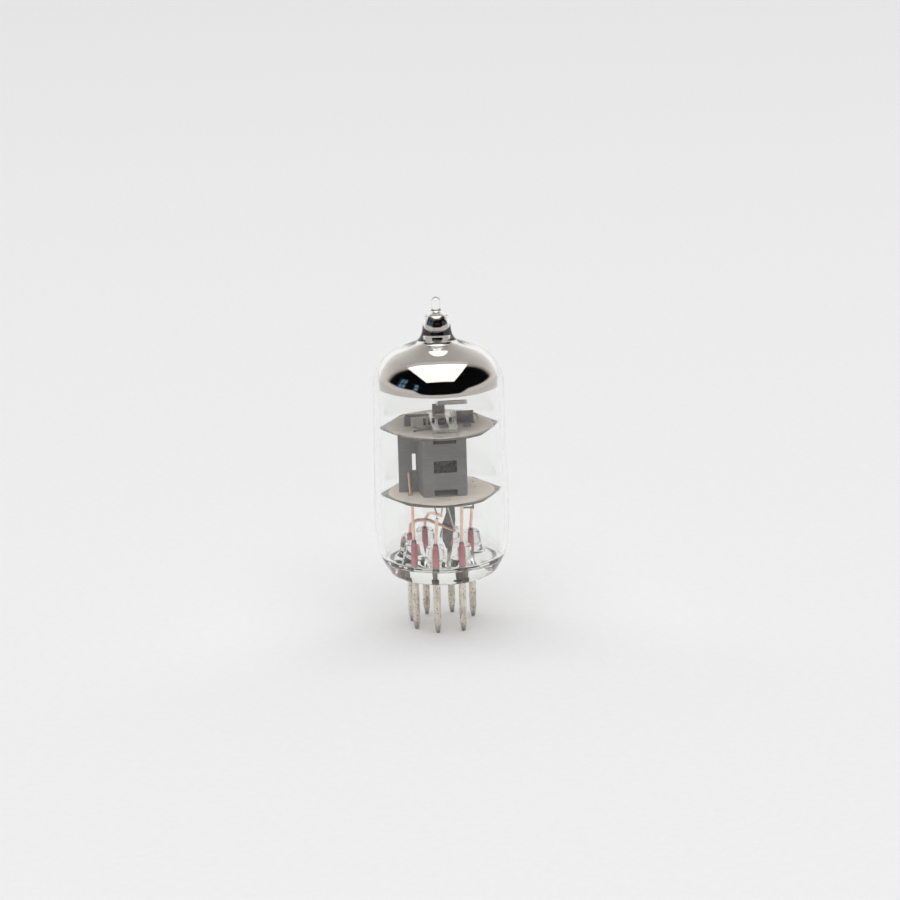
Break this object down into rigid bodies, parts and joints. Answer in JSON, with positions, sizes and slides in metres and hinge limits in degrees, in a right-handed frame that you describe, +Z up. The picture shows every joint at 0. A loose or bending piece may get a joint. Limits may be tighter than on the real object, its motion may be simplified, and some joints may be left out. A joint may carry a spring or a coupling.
{
  "type": "vacuum tube",
  "caption": "Miniature radio vacuum tube: domed glass bulb with a silvery mirror at its top, an electrode cage between mica wafers, and a ring of straight pins.",
  "frame": {"origin": "centre of the plane that the seven pin tips stand on, on the bulb's axis", "axes": "+Z up the bulb's axis to the sealed tip; +X along the mica wafers' long axis, away from the anode's fin; the anode's front face looks along -Y"},
  "size_m": [0.019, 0.019, 0.0474],
  "materials": {
    "clear_glass": "clear polished lime glass, faint grey-green in thick parts",
    "getter_film": "mirror-bright evaporated metal, browning to clear at its lower edge",
    "pin_metal": "tarnished nickel alloy, satin with drawing lines",
    "seal_metal": "copper-clad sealing wire, oxidised pink-red inside the glass",
    "copper": "bright pink copper-plated wire",
    "mica": "mica with a sprayed matt tan-grey coating and a clear rim",
    "grey_anode": "grey carbonised nickel sheet with fine horizontal rolling lines",
    "nickel": "bright to satin nickel strip and wire",
    "grey_strip": "dark oxidised nickel strip",
    "heater_coating": "white sintered alumina coating on the heater wire"
  },
  "bodies": {
    "root": {"anode": "grey_anode", "cathode_sleeve": "nickel", "control_grid": "nickel", "flag": "grey_strip", "flag_wire": "nickel", "fork_strap": "grey_strip", "getter_mirror": "getter_film", "getter_post": "nickel", "getter_trough": "nickel", "glass_bulb": "clear_glass", "grid_strap": "grey_strip", "heater": "heater_coating", "lead_1": "copper", "lead_2": "copper", "lead_3": "copper", "lead_4": "copper", "lead_5": "copper", "lead_6": "copper", "lead_7": "copper", "lower_mica": "mica", "lower_shield": "nickel", "pin_1": "pin_metal", "pin_2": "pin_metal", "pin_3": "pin_metal", "pin_4": "pin_metal", "pin_5": "pin_metal", "pin_6": "pin_metal", "pin_7": "pin_metal", "screen_grid": "nickel", "screen_link": "nickel", "seal_wire_1": "seal_metal", "seal_wire_2": "seal_metal", "seal_wire_3": "seal_metal", "seal_wire_4": "seal_metal", "seal_wire_5": "seal_metal", "seal_wire_6": "seal_metal", "seal_wire_7": "seal_metal", "shield_ribbon": "grey_strip", "side_flap": "nickel", "stem_glass": "clear_glass", "suppressor_grid": "nickel", "top_link": "grey_strip", "top_shield": "nickel", "upper_mica": "mica"}
  },
  "joints": []
}
